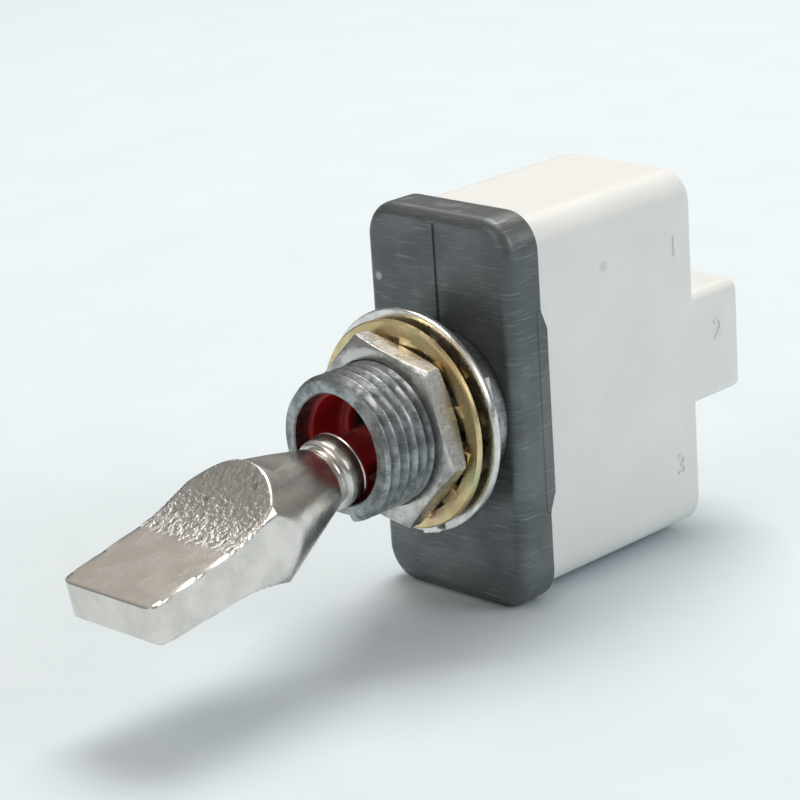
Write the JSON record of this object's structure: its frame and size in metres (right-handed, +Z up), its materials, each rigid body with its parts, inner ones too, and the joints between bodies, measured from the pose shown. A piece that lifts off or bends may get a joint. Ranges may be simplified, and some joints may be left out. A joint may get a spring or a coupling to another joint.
{
  "type": "panel toggle switch",
  "caption": "Sealed panel toggle switch: flat paddle lever, threaded bushing with nuts and washers, metal cover plate, moulded case with screw terminals.",
  "frame": {"origin": "on the bushing's axis, in the middle of its free thread, 9.825 mm in front of the cover plate's front face", "axes": "+X right seen from the front, +Y back into the case along the bushing's axis, +Z up along the case's height"},
  "size_m": [0.0186, 0.0686, 0.0328],
  "materials": {
    "cover_metal": "dark satin plated sheet steel, lightly scratched",
    "black_rubber": "matte",
    "case_plastic": "smooth pale thermoset moulding",
    "bushing_metal": "dull grey plated",
    "red_seal": "satin red silicone",
    "plain_steel": "satin plated",
    "nut_metal": "dull nickel plated, fine mottle",
    "ring_metal": "bright nickel plated",
    "washer_chromate": "yellow iridescent chromate",
    "lever_nickel": "satin nickel plate, softened edges",
    "plunger_plastic": "natural nylon",
    "terminal_brass": "plain brass strip",
    "contact_silver": "silver"
  },
  "bodies": {
    "housing": {"cover_plate": "cover_metal", "cover_gasket": "black_rubber", "case_body": "case_plastic", "threaded_bushing": "bushing_metal", "lever_seal": "red_seal", "pivot_pin": "plain_steel", "back_nut": "nut_metal", "locking_ring": "ring_metal", "lock_washer": "washer_chromate", "front_nut": "nut_metal", "rocker_support": "terminal_brass", "upper_fixed_contact": "contact_silver", "lower_fixed_contact": "contact_silver", "upper_terminal": "terminal_brass", "centre_terminal": "terminal_brass", "lower_terminal": "terminal_brass", "upper_terminal_washer": "plain_steel", "centre_terminal_washer": "plain_steel", "lower_terminal_washer": "plain_steel", "upper_terminal_screw": "plain_steel", "centre_terminal_screw": "plain_steel", "lower_terminal_screw": "plain_steel"},
    "lever": {"toggle_lever": "lever_nickel", "plunger_spring": "plain_steel"},
    "plunger": {"drive_plunger": "plunger_plastic"},
    "rocker": {"contact_rocker": "terminal_brass", "upper_moving_contact": "contact_silver", "lower_moving_contact": "contact_silver"}
  },
  "joints": [
    {"name": "toggle_swing", "type": "hinge", "parent": "housing", "child": "lever", "pos_m": [0, 0.00602, 0], "axis": [-1, 0, 0], "range_deg": [0, 20]},
    {"name": "plunger_slide", "type": "slide", "parent": "lever", "child": "plunger", "axis": [0, -0.9848, -0.1736], "range_m": [0, 0.0012], "stiffness_N_per_m": 800, "springref_m": -0.002, "deforming": ["plunger_spring"]},
    {"name": "rocker_tilt", "type": "hinge", "parent": "housing", "child": "rocker", "pos_m": [0, 0.02482, 0], "axis": [-1, 0, 0], "range_deg": [-24, 0]}
  ],
  "couplings": [
    {"joint": "rocker_tilt", "follows": "toggle_swing", "ratio": -1.2}
  ]
}
